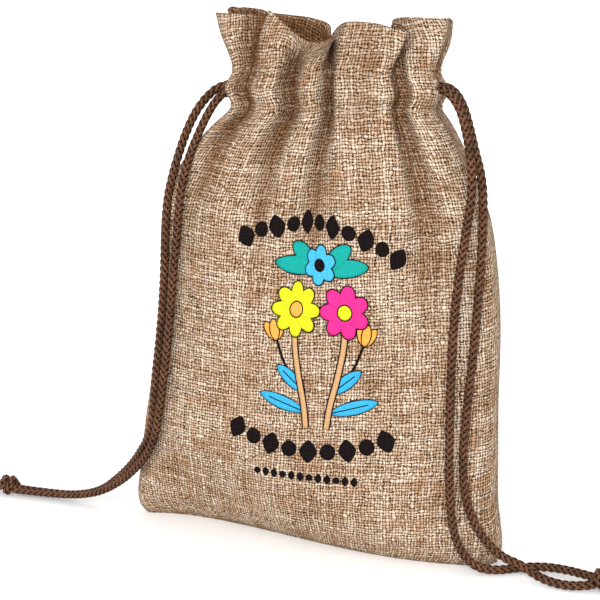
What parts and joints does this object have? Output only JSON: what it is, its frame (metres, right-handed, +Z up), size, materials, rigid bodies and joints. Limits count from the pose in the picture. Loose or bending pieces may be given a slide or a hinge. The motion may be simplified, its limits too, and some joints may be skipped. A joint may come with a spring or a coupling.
{
  "type": "drawstring gift pouch",
  "caption": "Small standing cloth pouch with a gathered neck, a sewn cord channel and braided drawcords that pull out at both sides and end in knots.",
  "frame": {"origin": "middle of the pouch's base, on the surface that it stands on", "axes": "+X to the pouch's right, -Y towards its front, +Z up"},
  "size_m": [0.2376, 0.042, 0.1704],
  "materials": {
    "cloth": "coarse plain weave in cream, tan and brown threads",
    "thread": "spun sewing thread",
    "cord": "braided brown cord"
  },
  "bodies": {
    "pouch": {"front_panel": "cloth", "back_panel": "cloth", "front_lower_stitch_row": "thread", "front_upper_stitch_row": "thread", "back_lower_stitch_row": "thread", "back_upper_stitch_row": "thread", "left_side_seam_thread": "thread", "right_side_seam_thread": "thread", "bottom_seam_thread": "thread", "left_cord_channel_run": "cord", "right_cord_channel_run": "cord"},
    "left_pull": {"left_cord_front_tail": "cord", "left_cord_back_tail": "cord", "left_knot": "cord"},
    "right_pull": {"right_cord_front_tail": "cord", "right_cord_back_tail": "cord", "right_knot": "cord"}
  },
  "joints": [
    {"name": "left_draw", "type": "slide", "parent": "pouch", "child": "left_pull", "axis": [-1, 0, 0], "range_m": [0, 0.035], "deforming": ["left_cord_front_tail", "left_cord_back_tail"]},
    {"name": "right_draw", "type": "slide", "parent": "pouch", "child": "right_pull", "axis": [1, 0, 0], "range_m": [0, 0.035], "deforming": ["right_cord_front_tail", "right_cord_back_tail"]}
  ]
}
